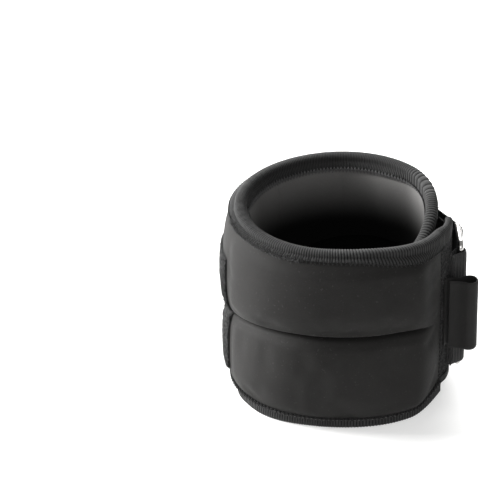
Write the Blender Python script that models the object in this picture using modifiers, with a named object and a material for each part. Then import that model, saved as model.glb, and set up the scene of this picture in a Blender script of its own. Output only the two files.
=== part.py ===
"""Ankle cuff weight: a padded wrap with twelve sand pouches, closed by a strap through a ring.

The wrap is described by a wrap angle, in degrees: 0 is at +X, and it grows clockwise seen from
above. It starts at the flap (right), passes the front (90), the left (180) and the back (270),
and ends under the flap (400). Every layer is an offset from the wrap's centre surface.
"""
import math

import bmesh
import bpy
from mathutils import Vector

MM = 0.001
GAP = 0.3 * MM

# The whole object is shifted so that its box is centred on the origin, standing on z = 0.
SHIFT_X = -8.127 * MM
SHIFT_Y = -3.437 * MM

# Wrap
HEIGHT = 113 * MM
WRAP_RADIUS = 53 * MM
FRONT_END_RISE = 9.0 * MM
SEAM_ANGLE = 25
INNER_END_ANGLE = 400
FLAP_END_ANGLE = 2
EDGE_DROP = 3.5 * MM
BOTTOM_RISE = 5 * MM
INNER_END_DROP = 12 * MM
LEFT_FLATTENING = 1.0 * MM
BACK_SWELL = 3.8 * MM
CREASE_HEIGHT = 61.4 * MM
CREASE_SAG = 13 * MM
CREASE_END_DROP = 3.3 * MM

# Layers
SHELL_THICKNESS = 1.9 * MM
LINING_THICKNESS = 1.6 * MM
SHELL_OFFSET = 1.25 * MM
LINING_OFFSET = -1.1 * MM
OUTER_BULGE = 6.6 * MM
INNER_BULGE = 2.9 * MM
TAPE_THICKNESS = 0.9 * MM
TAPE_LEG = 7 * MM
EDGE_ZONE = 8.5 * MM
EDGE_INSET = 2.2 * MM
POUCH_CLEARANCE = 1.2 * MM

# Padding: two rows of six pouches
COLUMNS = 6
PAD_START = 42
PAD_END = 322
POUCH_MARGIN = 4.5
ROW_MARGIN = 5 * MM

# Grid of the wrap: the padding's columns have a lead-in, and a tail under the flap
LEAD_CELLS = 3
PAD_CELLS = 42
TAIL_CELLS = 11
WRAP_CELLS = LEAD_CELLS + PAD_CELLS + TAIL_CELLS
ROW_CELLS = 14
TAPE_CELLS = 5

# Flap
FLAP_THICKNESS = 2.2 * MM
FLAP_TOP = 108.5 * MM
FLAP_BOTTOM = 8.5 * MM
FLAP_CORNER = 10 * MM

# Ring: a rectangle of wire standing beside the flap
WIRE_RADIUS = 1.8 * MM
NEAR_BAR = Vector((68.9, -12.2)) * MM
FAR_BAR = Vector((67.9, 11.3)) * MM
RING_LOW = 12.9 * MM
RING_HIGH = 93.9 * MM
RING_CORNER = 2.6 * MM

# Webbing
WEB_THICKNESS = 1.5 * MM
WEB_LOW = 17.5 * MM
WEB_HIGH = 89.3 * MM
WEB_TURN = WIRE_RADIUS + GAP + WEB_THICKNESS / 2

# Elastic anchor: wrap angles of its foot on the flap and of its end over the foot
ELASTIC_FOOT = (16.8, 15.1, 13.4)
ELASTIC_END = (15.6, 17.0)

# Strap: angles counter-clockwise from +X, and its offsets from the wrap's centre surface
ROOT_FROM = 66
ROOT_TO = 51
ROOT_OFFSET = 10.5 * MM
RETURN_OFFSET = 12.6 * MM
LAY_OFFSET = 13.1 * MM
END_FROM = 56
END_TO = 126
END_GAP = 0.6
HOOK_FROM = 72
HOOK_TO = 123

# Loop patch, strap and hook panel on the outside of the wrap
PATCH_THICKNESS = 1.3 * MM
PATCH_FIRST_CELL = 21
PATCH_LAST_CELL = 40
PATCH_FIRST_ROW = 2
PATCH_LAST_ROW = 11
HOOK_THICKNESS = 0.9 * MM

# Finger tab
TAB_THICKNESS = 1.3 * MM
TAB_LOW = 33.4 * MM
TAB_HIGH = 76.8 * MM
TAB_FOOT = (21.6, 20.6, 19.6)
TAB_FOOT_END = Vector((62.2, -21.5)) * MM
TAB_START = Vector((62.55, -21.45)) * MM
TAB_FAR_SIDE = [(64.5, -21.6), (68.0, -21.9)]
TAB_NEAR_SIDE = [(68.0, -25.3), (62.9, -25.2)]
TAB_ROLL_CENTRE = Vector((73.9, -23.3)) * MM
TAB_ROLL_RADIUS = 4.3 * MM
TAB_ROLL_OPENING = 128

THREAD_RADIUS = 0.35 * MM


# ---------------------------------------------------------------- scene and materials

def clear_scene():
    for obj in list(bpy.data.objects):
        bpy.data.objects.remove(obj, do_unlink=True)


def make_collection(name):
    collection = bpy.data.collections.new(name)
    bpy.context.scene.collection.children.link(collection)
    return collection


def make_material(name, colour, roughness, metallic=0.0):
    material = bpy.data.materials.new(name)
    material.use_nodes = True
    shader = material.node_tree.nodes["Principled BSDF"]
    shader.inputs["Base Color"].default_value = (*colour, 1.0)
    shader.inputs["Roughness"].default_value = roughness
    shader.inputs["Metallic"].default_value = metallic
    return material


# ---------------------------------------------------------------- the wrap's form

def smooth_step(low, high, value):
    share = min(max((value - low) / (high - low), 0.0), 1.0)
    return share * share * (3 - 2 * share)


def wrap_radius(angle):
    """Centre radius: nearly round, rising at the front end to pass over the inner end."""
    flat = LEFT_FLATTENING * max(-math.cos(math.radians(angle)), 0.0) ** 2
    swell = BACK_SWELL * smooth_step(232, 310, angle) * smooth_step(360, 314, angle)
    rise = FRONT_END_RISE * smooth_step(95, 25, angle)
    crest = 1.5 * MM * smooth_step(25, 17, angle) - 3.2 * MM * smooth_step(14, -6, angle)
    tuck = 1.0 * MM * smooth_step(355, 395, angle)
    return WRAP_RADIUS + rise + crest - tuck - flat + swell


def wrap_top(angle):
    """The top edge dips a little towards the flap, and more where the inner end goes under it."""
    front = EDGE_DROP * smooth_step(75, 25, angle)
    return HEIGHT - front - INNER_END_DROP * smooth_step(352, 398, angle)


def wrap_bottom(angle):
    """The bottom edge stands on the floor, but rises towards the flap."""
    return BOTTOM_RISE * smooth_step(48, 25, angle)


def crease_height(angle):
    """The crease between the two rows of pads sags at the left and a little at the front end."""
    sag = CREASE_SAG * math.sin(math.pi * (min(max(angle, 100), 300) - 100) / 200) ** 2
    return CREASE_HEIGHT - sag - CREASE_END_DROP * smooth_step(60, 35, angle)


def ends_fade(angle):
    """1 over the padding, 0 past either end of it."""
    return smooth_step(30, 48, angle) * smooth_step(PAD_END + 4, PAD_END - 16, angle)


def barrel(angle, height):
    """0 where the edge tape lies, 1 at mid-height."""
    low = wrap_bottom(angle) + EDGE_ZONE
    share = min(max((height - low) / (wrap_top(angle) - EDGE_ZONE - low), 0.0), 1.0)
    return math.sin(math.pi * share) ** 0.5 if 0 < share < 1 else 0.0


def crease(angle, height, half_width):
    return math.exp(-((height - crease_height(angle)) / half_width) ** 2)


def shell_offset(angle, height):
    """Middle of the shell, measured outwards from the wrap's centre surface."""
    swell = barrel(angle, height) * (1 - 0.5 * crease(angle, height, 4.5 * MM))
    return SHELL_OFFSET + OUTER_BULGE * ends_fade(angle) * swell


def column_share(angle):
    """Place within a pad column, from -1 to 1."""
    share = (angle - PAD_START) / (PAD_END - PAD_START) * COLUMNS
    return 2 * (share - math.floor(share)) - 1


def lining_offset(angle, height):
    """Middle of the lining: it swells inwards between its vertical and middle seams."""
    if not PAD_START < angle < PAD_END:
        return LINING_OFFSET
    across = (1 - abs(column_share(angle)) ** 4) ** 0.5
    swell = barrel(angle, height) * (1 - 0.8 * crease(angle, height, 5 * MM))
    return LINING_OFFSET - INNER_BULGE * across * swell


def plan_point(radius, angle):
    turn = math.radians(angle)
    return Vector((radius * math.cos(turn), -radius * math.sin(turn)))


def on_wrap(angle, offset, height):
    flat = plan_point(wrap_radius(angle) + offset, angle)
    return Vector((flat.x, flat.y, height))


# ---------------------------------------------------------------- mesh helpers

def add_object(name, mesh, material, collection, smooth=True):
    obj = bpy.data.objects.new(name, mesh)
    collection.objects.link(obj)
    mesh.materials.append(material)
    if smooth:
        mesh.shade_smooth()
    return obj


def place_at_origin_shift(mesh, pivot):
    """Shifts the mesh into the object's frame and leaves the origin on the given pivot."""
    for vertex in mesh.vertices:
        vertex.co += Vector((SHIFT_X, SHIFT_Y, 0)) - pivot


def sheet(name, across, along, place, thickness, look, pivot=Vector((0, 0, 0))):
    """A grid of across x along cells laid out by place(u, v), u and v from 0 to 1, with thickness."""
    material, collection = look
    grid = bmesh.new()
    bmesh.ops.create_grid(grid, x_segments=across, y_segments=along, size=0.5)
    for vertex in grid.verts:
        vertex.co = place(vertex.co.x + 0.5, vertex.co.y + 0.5)
    bmesh.ops.recalc_face_normals(grid, faces=grid.faces)
    mesh = bpy.data.meshes.new(name)
    grid.to_mesh(mesh)
    grid.free()
    place_at_origin_shift(mesh, pivot)
    obj = add_object(name, mesh, material, collection)
    obj.location = pivot
    solid = obj.modifiers.new("thickness", "SOLIDIFY")
    solid.thickness = thickness
    solid.offset = 0
    solid.use_even_offset = True
    return obj


def web(name, points, low, high, thickness, look, pivot=Vector((0, 0, 0))):
    """A strip of webbing that stands on its edge, following plan points."""
    steps = len(points) - 1

    def place(u, v):
        flat = points[round(u * steps)]
        return Vector((flat.x, flat.y, low + v * (high - low)))

    return sheet(name, steps, 2, place, thickness, look, pivot)


def wire(name, points, radius, look, cyclic=False, pivot=Vector((0, 0, 0)), sides=2):
    """A wire or thread through the points, as a curve with filled caps."""
    material, collection = look
    curve = bpy.data.curves.new(name, "CURVE")
    curve.dimensions = "3D"
    curve.bevel_depth = radius
    curve.bevel_resolution = sides
    curve.use_fill_caps = True
    spline = curve.splines.new("POLY")
    spline.points.add(len(points) - 1)
    for item, point in zip(spline.points, points):
        shifted = Vector(point) + Vector((SHIFT_X, SHIFT_Y, 0)) - pivot
        item.co = (*shifted, 1.0)
    spline.use_cyclic_u = cyclic
    curve.materials.append(material)
    obj = bpy.data.objects.new(name, curve)
    obj.location = pivot
    collection.objects.link(obj)
    return obj


def arc(centre, radius, start, end, steps):
    """Plan points on an arc, angles in degrees counter-clockwise from +X."""
    turns = [math.radians(start + (end - start) * i / steps) for i in range(steps + 1)]
    return [centre + radius * Vector((math.cos(t), math.sin(t))) for t in turns]


def run(start, end, steps):
    """Plan points between two points, both left out."""
    return [start.lerp(end, i / steps) for i in range(1, steps)]


# ---------------------------------------------------------------- the padded wrap

def wrap_angle(u):
    """Columns of the wrap's grid: even within the padding, so that each pad seam is on one of them."""
    cell = u * WRAP_CELLS
    first = SEAM_ANGLE + 0.3
    if cell < LEAD_CELLS:
        return first + (PAD_START - first) * cell / LEAD_CELLS
    cell -= LEAD_CELLS
    if cell < PAD_CELLS:
        return PAD_START + (PAD_END - PAD_START) * cell / PAD_CELLS
    return PAD_END + (INNER_END_ANGLE - PAD_END) * (cell - PAD_CELLS) / TAIL_CELLS


def row_height(v, angle):
    """Rows of the wrap's grid: one cell under the tape at each edge, and one row on the crease."""
    row = round(v * ROW_CELLS)
    top = wrap_top(angle)
    seam = crease_height(angle)
    half = ROW_CELLS / 2 - 1
    low = wrap_bottom(angle)
    if row == 0:
        return low + EDGE_INSET
    if row == ROW_CELLS:
        return top - EDGE_INSET
    share = (row - 1 - half) / half
    if share < 0:
        return seam + share * (seam - EDGE_ZONE - low)
    return seam + share * (top - EDGE_ZONE - seam)


def make_wrap_layer(name, offset_at, thickness, look):
    def place(u, v):
        angle = wrap_angle(u)
        height = row_height(v, angle)
        return on_wrap(angle, offset_at(angle, height), height)

    return sheet(name, WRAP_CELLS, ROW_CELLS, place, thickness, look)


def make_pouch(name, column, low_row, look):
    """A pillow of sand that fills its cell between the lining and the shell."""
    material, collection = look
    width = (PAD_END - PAD_START) / COLUMNS
    middle_angle = PAD_START + width * (column + 0.5)
    half_angle = width / 2 - POUCH_MARGIN
    pillow = bmesh.new()
    bmesh.ops.create_cube(pillow, size=2)
    bmesh.ops.subdivide_edges(pillow, edges=pillow.edges[:], cuts=3, use_grid_fill=True)
    for vertex in pillow.verts:
        across, depth, up = vertex.co
        angle = middle_angle + half_angle * across
        seam = crease_height(angle)
        low = wrap_bottom(angle) + EDGE_ZONE + 1 * MM if low_row else seam + ROW_MARGIN
        high = seam - ROW_MARGIN if low_row else wrap_top(angle) - EDGE_ZONE - 1 * MM
        height = (low + high) / 2 + (high - low) / 2 * up
        inner = lining_offset(angle, height) + LINING_THICKNESS / 2 + POUCH_CLEARANCE
        outer = shell_offset(angle, height) - SHELL_THICKNESS / 2 - POUCH_CLEARANCE
        pinch = 0.25 + 0.75 * math.sqrt(max((1 - across ** 4) * (1 - up ** 4), 0))
        half_depth = max((outer - inner) / 2, 0.25 * MM)
        vertex.co = on_wrap(angle, (outer + inner) / 2 + depth * half_depth * pinch, height)
    if pillow.calc_volume(signed=True) < 0:
        bmesh.ops.reverse_faces(pillow, faces=pillow.faces)
    mesh = bpy.data.meshes.new(name)
    pillow.to_mesh(mesh)
    pillow.free()
    place_at_origin_shift(mesh, Vector((0, 0, 0)))
    return add_object(name, mesh, material, collection)


def tape_section(inner_face, outer_face):
    """The folded tape's middle line, as (offset, depth in from the edge), outer leg first."""
    clear = GAP + TAPE_THICKNESS / 2
    middle = (inner_face + outer_face) / 2
    half = (outer_face - inner_face) / 2 + clear
    shoulder = 1.6 * MM
    crown = TAPE_THICKNESS / 2
    return [
        (middle + half, TAPE_LEG),
        (middle + half, shoulder),
        (middle + half * 0.5, crown),
        (middle - half * 0.5, crown),
        (middle - half, shoulder),
        (middle - half, TAPE_LEG),
    ]


def wrap_tape_section():
    return tape_section(LINING_OFFSET - LINING_THICKNESS / 2, SHELL_OFFSET + SHELL_THICKNESS / 2)


def make_edge_binding(name, at_top, look):
    """Tape along the top or the bottom edge, as long as the wrap and its end tape."""
    section = wrap_tape_section()

    def place(u, v):
        angle = INNER_END_ANGLE + 2.6 if u > 0.999 else wrap_angle(u)
        offset, depth = section[round(v * TAPE_CELLS)]
        height = wrap_top(angle) - depth if at_top else wrap_bottom(angle) + depth
        return on_wrap(angle, offset, height)

    return sheet(name, WRAP_CELLS, TAPE_CELLS, place, TAPE_THICKNESS, look)


def make_inner_end_binding(look):
    """The tape on the end that lies under the flap, between the top and the bottom tape."""
    low = TAPE_LEG + 1.2 * MM
    high = wrap_top(INNER_END_ANGLE) - TAPE_LEG - 1.2 * MM
    per_degree = math.radians(WRAP_RADIUS)
    section = wrap_tape_section()

    def place(u, v):
        offset, depth = section[round(v * TAPE_CELLS)]
        angle = INNER_END_ANGLE + (2.0 * MM - depth) / per_degree
        return on_wrap(angle, offset, low + u * (high - low))

    return sheet("inner_end_binding", 6, TAPE_CELLS, place, TAPE_THICKNESS, look)


# ---------------------------------------------------------------- the flap

def flap_edge(share):
    """The flap's outline as (angle, height) with its inward direction, from top seam to bottom seam."""
    per_degree = math.radians(WRAP_RADIUS + FRONT_END_RISE)
    start = SEAM_ANGLE - 0.3
    run_across = (start - FLAP_END_ANGLE) * per_degree - FLAP_CORNER
    run_down = FLAP_TOP - FLAP_BOTTOM - 2 * FLAP_CORNER
    quarter = math.pi / 2 * FLAP_CORNER
    along = share * (2 * run_across + 2 * quarter + run_down)
    corner_angle = FLAP_END_ANGLE + FLAP_CORNER / per_degree
    if along <= run_across:
        return start - along / per_degree, FLAP_TOP, (0, -1)
    along -= run_across
    if along <= quarter:
        turn = along / FLAP_CORNER
        inward = (math.sin(turn), -math.cos(turn))
    elif along <= quarter + run_down:
        return FLAP_END_ANGLE, FLAP_TOP - FLAP_CORNER - (along - quarter), (1, 0)
    elif along <= 2 * quarter + run_down:
        turn = math.pi / 2 + (along - quarter - run_down) / FLAP_CORNER
        inward = (math.sin(turn), -math.cos(turn))
        low_centre = FLAP_BOTTOM + FLAP_CORNER
        angle = corner_angle - inward[0] * FLAP_CORNER / per_degree
        return angle, low_centre - inward[1] * FLAP_CORNER, inward
    else:
        along -= 2 * quarter + run_down
        return corner_angle + along / per_degree, FLAP_BOTTOM, (0, 1)
    angle = corner_angle - inward[0] * FLAP_CORNER / per_degree
    return angle, FLAP_TOP - FLAP_CORNER - inward[1] * FLAP_CORNER, inward


def make_flap_panel(look):
    """The thin panel past the end seam; its free corners are rounded."""
    inset = EDGE_INSET
    start = SEAM_ANGLE - 0.3
    per_degree = math.radians(WRAP_RADIUS + FRONT_END_RISE)
    end = FLAP_END_ANGLE + inset / per_degree
    radius = FLAP_CORNER - inset

    def place(u, v):
        angle = start + u * (end - start)
        into = max(radius - (angle - end) * per_degree, 0.0)
        cut = radius - math.sqrt(max(radius ** 2 - into ** 2, 0.0))
        low = FLAP_BOTTOM + inset + cut
        high = FLAP_TOP - inset - cut
        return on_wrap(angle, 0, low + v * (high - low))

    return sheet("flap_panel", 14, 8, place, FLAP_THICKNESS, look)


def make_flap_binding(look):
    per_degree = math.radians(WRAP_RADIUS + FRONT_END_RISE)
    section = tape_section(-FLAP_THICKNESS / 2, FLAP_THICKNESS / 2)

    def place(u, v):
        angle, height, inward = flap_edge(u)
        offset, depth = section[round(v * TAPE_CELLS)]
        return on_wrap(angle + inward[0] * depth / per_degree, offset, height + inward[1] * depth)

    return sheet("flap_binding", 44, TAPE_CELLS, place, TAPE_THICKNESS, look)


# ---------------------------------------------------------------- closure

def make_ring(look):
    """A rectangle of round wire in the upright plane through its two bars."""
    across = (FAR_BAR - NEAR_BAR).length
    corners = [
        (RING_CORNER, RING_LOW + WIRE_RADIUS + RING_CORNER, 180),
        (across - RING_CORNER, RING_LOW + WIRE_RADIUS + RING_CORNER, 270),
        (across - RING_CORNER, RING_HIGH - WIRE_RADIUS - RING_CORNER, 0),
        (RING_CORNER, RING_HIGH - WIRE_RADIUS - RING_CORNER, 90),
    ]
    points = []
    for side, height, first in corners:
        for point in arc(Vector((side, height)), RING_CORNER, first, first + 90, 4):
            flat = NEAR_BAR.lerp(FAR_BAR, point.x / across)
            points.append((flat.x, flat.y, point.y))
    return wire("ring", points, WIRE_RADIUS, look, cyclic=True, pivot=shifted_pivot(NEAR_BAR), sides=3)


def shifted_pivot(flat, height=0.0):
    return Vector((flat.x + SHIFT_X, flat.y + SHIFT_Y, height))


def loop_round(bar, towards, side_turn):
    """Plan points of a webbing turn round a bar, open towards the given direction."""
    facing = math.degrees(math.atan2(towards.y, towards.x))
    return arc(bar, WEB_TURN, facing + 90 * side_turn, facing + (90 + 180) * side_turn, 8)


def make_elastic_anchor(look):
    """Elastic webbing that lies on the flap, rises to the ring's near bar and comes back over itself."""
    surface = FLAP_THICKNESS / 2 + GAP + WEB_THICKNESS / 2
    foot = [plan_point(wrap_radius(a) + surface, a) for a in ELASTIC_FOOT]
    top_foot = [plan_point(wrap_radius(a) + surface + WEB_THICKNESS + GAP, a) for a in ELASTIC_END]
    back = foot[1] - NEAR_BAR
    turn = loop_round(NEAR_BAR, back, -1)
    points = foot + run(foot[-1], turn[0], 2) + turn + run(turn[-1], top_foot[0], 3) + top_foot
    return web("elastic_anchor", points, WEB_LOW, WEB_HIGH, WEB_THICKNESS, look)


def make_tab_foot(look):
    """The end of the tab's tape, sewn flat on the flap beside the foot of the elastic."""
    surface = FLAP_THICKNESS / 2 + GAP + TAB_THICKNESS / 2
    points = [plan_point(wrap_radius(a) + surface, a) for a in TAB_FOOT] + [TAB_FOOT_END]
    return web("tab_foot", points, TAB_LOW, TAB_HIGH, TAB_THICKNESS, look)


def tab_pivot():
    """The tab bends at its foot, on the side that it folds towards."""
    between = TAB_FOOT_END.lerp(TAB_START, 0.5)
    return shifted_pivot(between + beside(TAB_FOOT_END, TAB_START, TAB_THICKNESS / 2))


def make_finger_tab(look):
    """A folded loop of smooth tape that stands out from its foot."""
    far_side = [Vector(point) * MM for point in TAB_FAR_SIDE]
    near_side = [Vector(point) * MM for point in TAB_NEAR_SIDE]
    roll = arc(TAB_ROLL_CENTRE, TAB_ROLL_RADIUS, TAB_ROLL_OPENING, -TAB_ROLL_OPENING, 12)
    points = [TAB_START] + far_side + roll + near_side
    return web("finger_tab", points, TAB_LOW, TAB_HIGH, TAB_THICKNESS, look, tab_pivot())


def strap_point(angle, offset):
    """Plan point over the wrap at an angle counter-clockwise from +X."""
    return plan_point(wrap_radius(360 - angle) + offset, -angle)


def beside(start, end, distance):
    """A step to the right of the way from start to end."""
    along = (end - start).normalized()
    return Vector((along.y, -along.x)) * distance


def strap_turn():
    towards = strap_point(ROOT_TO, ROOT_OFFSET) - FAR_BAR
    return loop_round(FAR_BAR, towards, 1)


def make_strap_root(look):
    """The strap's sewn foot on the wrap and its first run, up to the turn round the far bar."""
    steps = 3
    step = (ROOT_TO - ROOT_FROM) / steps
    foot = [strap_point(ROOT_FROM + step * i, ROOT_OFFSET) for i in range(steps + 1)]
    turn_start = strap_turn()[0]
    stop = turn_start + (foot[-1] - turn_start).normalized() * GAP
    points = foot + run(foot[-1], stop, 4) + [stop]
    return web("strap_root", points, WEB_LOW, WEB_HIGH, WEB_THICKNESS, look)


def make_strap_fold(look):
    return web("strap_fold", strap_turn(), WEB_LOW, WEB_HIGH, WEB_THICKNESS, look, shifted_pivot(NEAR_BAR))


def return_ends():
    """Where the return run leaves the turn and where it lands on the root."""
    turn_end = strap_turn()[-1]
    landing = strap_point(ROOT_TO, RETURN_OFFSET)
    return turn_end + (landing - turn_end).normalized() * GAP, landing


def return_pivot():
    """The return run peels about the outer face of its start."""
    start, landing = return_ends()
    return shifted_pivot(start + beside(start, landing, WEB_THICKNESS / 2))


def make_strap_return(look):
    """The run from the ring back over the root."""
    start, landing = return_ends()
    middle = strap_point((ROOT_TO + END_FROM) / 2, RETURN_OFFSET)
    points = [start] + run(start, landing, 5) + [landing, middle, strap_point(END_FROM, RETURN_OFFSET)]
    return web("strap_return", points, WEB_LOW, WEB_HIGH, WEB_THICKNESS, look, return_pivot())


def make_strap_end(look):
    """The run that lies round the back, over the hook panel and the loop patch."""
    steps = 12
    first = END_FROM + END_GAP
    angles = [first + (END_TO - first) * i / steps for i in range(steps + 1)]
    climb = LAY_OFFSET - RETURN_OFFSET
    points = [strap_point(a, RETURN_OFFSET + climb * smooth_step(58, 68, a)) for a in angles]
    return web("strap_end", points, WEB_LOW, WEB_HIGH, WEB_THICKNESS, look, end_pivot())


def end_pivot():
    return shifted_pivot(strap_point(END_FROM, RETURN_OFFSET))


def make_hook_panel(look):
    steps = 9
    offset = LAY_OFFSET - WEB_THICKNESS / 2 - GAP - HOOK_THICKNESS / 2
    step = (HOOK_TO - HOOK_FROM) / steps
    points = [strap_point(HOOK_FROM + step * i, offset) for i in range(steps + 1)]
    return web("hook_panel", points, WEB_LOW + 3 * MM, WEB_HIGH - 3 * MM, HOOK_THICKNESS, look, end_pivot())


def over_patch_base(angle, height):
    return shell_offset(angle, height) + SHELL_THICKNESS / 2 + 2 * GAP


def make_loop_patch(look):
    """The fuzzy fastener panel; it lies on the shell's own grid."""
    cells = PATCH_LAST_CELL - PATCH_FIRST_CELL
    rows = PATCH_LAST_ROW - PATCH_FIRST_ROW

    def place(u, v):
        angle = wrap_angle((PATCH_FIRST_CELL + u * cells) / WRAP_CELLS)
        height = row_height((PATCH_FIRST_ROW + v * rows) / ROW_CELLS, angle)
        return on_wrap(angle, over_patch_base(angle, height) + PATCH_THICKNESS / 2, height)

    return sheet("loop_patch", cells, rows, place, PATCH_THICKNESS, look)


# ---------------------------------------------------------------- stitching

def spread(start, end, steps):
    return [start + (end - start) * i / steps for i in range(steps + 1)]


def over_shell(angle, height):
    return shell_offset(angle, height) + SHELL_THICKNESS / 2 + GAP + THREAD_RADIUS


def make_mid_seam(look):
    """The line of stitches in the outer crease, from the end seam's side to the loop patch."""
    points = []
    for cell in range(LEAD_CELLS + 1, PATCH_FIRST_CELL):
        angle = wrap_angle(cell / WRAP_CELLS)
        height = crease_height(angle)
        points.append(on_wrap(angle, over_shell(angle, height) + 0.2 * MM, height))
    return wire("mid_seam_thread", points, THREAD_RADIUS, look, sides=1)


def make_end_seam(look):
    angle = SEAM_ANGLE + 1.6
    margin = TAPE_LEG + 2.5 * MM
    heights = spread(wrap_bottom(angle) + margin, wrap_top(angle) - margin, 8)
    points = [on_wrap(angle, over_shell(angle, height), height) for height in heights]
    return wire("end_seam_thread", points, THREAD_RADIUS, look, sides=1)


def make_quilt_thread(index, look):
    angle = PAD_START + (PAD_END - PAD_START) / COLUMNS * index
    margin = TAPE_LEG + 2 * MM
    heights = spread(wrap_bottom(angle) + margin, wrap_top(angle) - margin, 10)
    under = LINING_THICKNESS / 2 + 0.5 * MM + THREAD_RADIUS
    points = [on_wrap(angle, lining_offset(angle, height) - under, height) for height in heights]
    return wire(f"quilt_thread_{index}", points, THREAD_RADIUS, look, sides=1)


def make_anchor_stitch(look):
    """Zigzag over the foot of the elastic, which holds the elastic to the flap."""
    teeth = 16
    lift = FLAP_THICKNESS / 2 + 2 * (GAP + WEB_THICKNESS) + GAP + THREAD_RADIUS
    points = []
    for index in range(teeth + 1):
        angle = ELASTIC_FOOT[0] - (index + 1) % 2
        height = WEB_LOW + 2 * MM + (WEB_HIGH - WEB_LOW - 4 * MM) * index / teeth
        points.append(on_wrap(angle, lift + 0.1 * MM, height))
    return wire("anchor_stitch", points, THREAD_RADIUS, look, sides=1)


def make_root_stitch(look):
    """Two upright lines joined at the bottom, on the strap's sewn foot, under the return run."""
    offset = ROOT_OFFSET - WEB_THICKNESS / 2 - GAP - THREAD_RADIUS
    low = WEB_LOW + 4 * MM
    high = WEB_HIGH - 4 * MM
    points = [(*strap_point(64, offset), height) for height in spread(high, low, 4)]
    points += [(*strap_point(58, offset), height) for height in spread(low, high, 4)]
    return wire("strap_root_stitch", points, THREAD_RADIUS, look, sides=1)


def make_patch_stitch(look):
    """A running line down the patch, one cell in from its near edge."""
    angle = wrap_angle((PATCH_FIRST_CELL + 1) / WRAP_CELLS)
    points = []
    for row in range(PATCH_FIRST_ROW, PATCH_LAST_ROW + 1):
        height = row_height(row / ROW_CELLS, angle)
        out = over_patch_base(angle, height) + PATCH_THICKNESS + GAP + THREAD_RADIUS
        points.append(on_wrap(angle, out + 0.1 * MM, height))
    return wire("loop_patch_stitch", points, THREAD_RADIUS, look, sides=1)


def make_strap_end_stitch(look):
    """An upright line near the strap's free end, which holds the hook panel."""
    offset = LAY_OFFSET + WEB_THICKNESS / 2 + GAP + THREAD_RADIUS
    heights = spread(WEB_LOW + 3 * MM, WEB_HIGH - 3 * MM, 4)
    points = [(*strap_point(HOOK_TO, offset), height) for height in heights]
    return wire("strap_end_stitch", points, THREAD_RADIUS, look, pivot=end_pivot(), sides=1)


# ---------------------------------------------------------------- assembly

def main():
    clear_scene()
    parts = make_collection("ankle_cuff_weight")
    neoprene = (make_material("neoprene", (0.030, 0.029, 0.028), 0.75), parts)
    lining = (make_material("lining_fabric", (0.034, 0.033, 0.032), 0.8), parts)
    tape = (make_material("binding_tape", (0.040, 0.039, 0.038), 0.7), parts)
    loop = (make_material("loop_fabric", (0.036, 0.035, 0.035), 0.95), parts)
    strap = (make_material("strap_webbing", (0.012, 0.012, 0.013), 0.6), parts)
    elastic = (make_material("elastic_webbing", (0.038, 0.037, 0.036), 0.7), parts)
    tab = (make_material("tab_fabric", (0.033, 0.033, 0.033), 0.55), parts)
    steel = (make_material("ring_steel", (0.75, 0.74, 0.73), 0.15, 1.0), parts)
    hook = (make_material("hook_plastic", (0.02, 0.02, 0.02), 0.5), parts)
    sand = (make_material("sand_pouch", (0.10, 0.10, 0.11), 0.7), parts)
    thread = (make_material("thread", (0.025, 0.025, 0.025), 0.6), parts)

    make_wrap_layer("outer_shell", shell_offset, SHELL_THICKNESS, neoprene)
    make_wrap_layer("inner_lining", lining_offset, LINING_THICKNESS, lining)
    for column in range(COLUMNS):
        make_pouch(f"fill_pouch_lower_{column + 1}", column, True, sand)
        make_pouch(f"fill_pouch_upper_{column + 1}", column, False, sand)
    make_edge_binding("top_binding", True, tape)
    make_edge_binding("bottom_binding", False, tape)
    make_inner_end_binding(tape)
    make_flap_panel(loop)
    make_flap_binding(tape)
    make_ring(steel)
    make_elastic_anchor(elastic)
    make_tab_foot(tab)
    make_finger_tab(tab)
    make_strap_root(strap)
    make_strap_fold(strap)
    make_strap_return(strap)
    make_strap_end(strap)
    make_hook_panel(hook)
    make_loop_patch(loop)
    make_mid_seam(thread)
    make_end_seam(thread)
    for index in range(1, COLUMNS):
        make_quilt_thread(index, thread)
    make_anchor_stitch(thread)
    make_root_stitch(thread)
    make_patch_stitch(thread)
    make_strap_end_stitch(thread)


main()
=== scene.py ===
"""Ankle cuff weight: the fabric, tape, webbing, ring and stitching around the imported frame."""
import math

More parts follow.
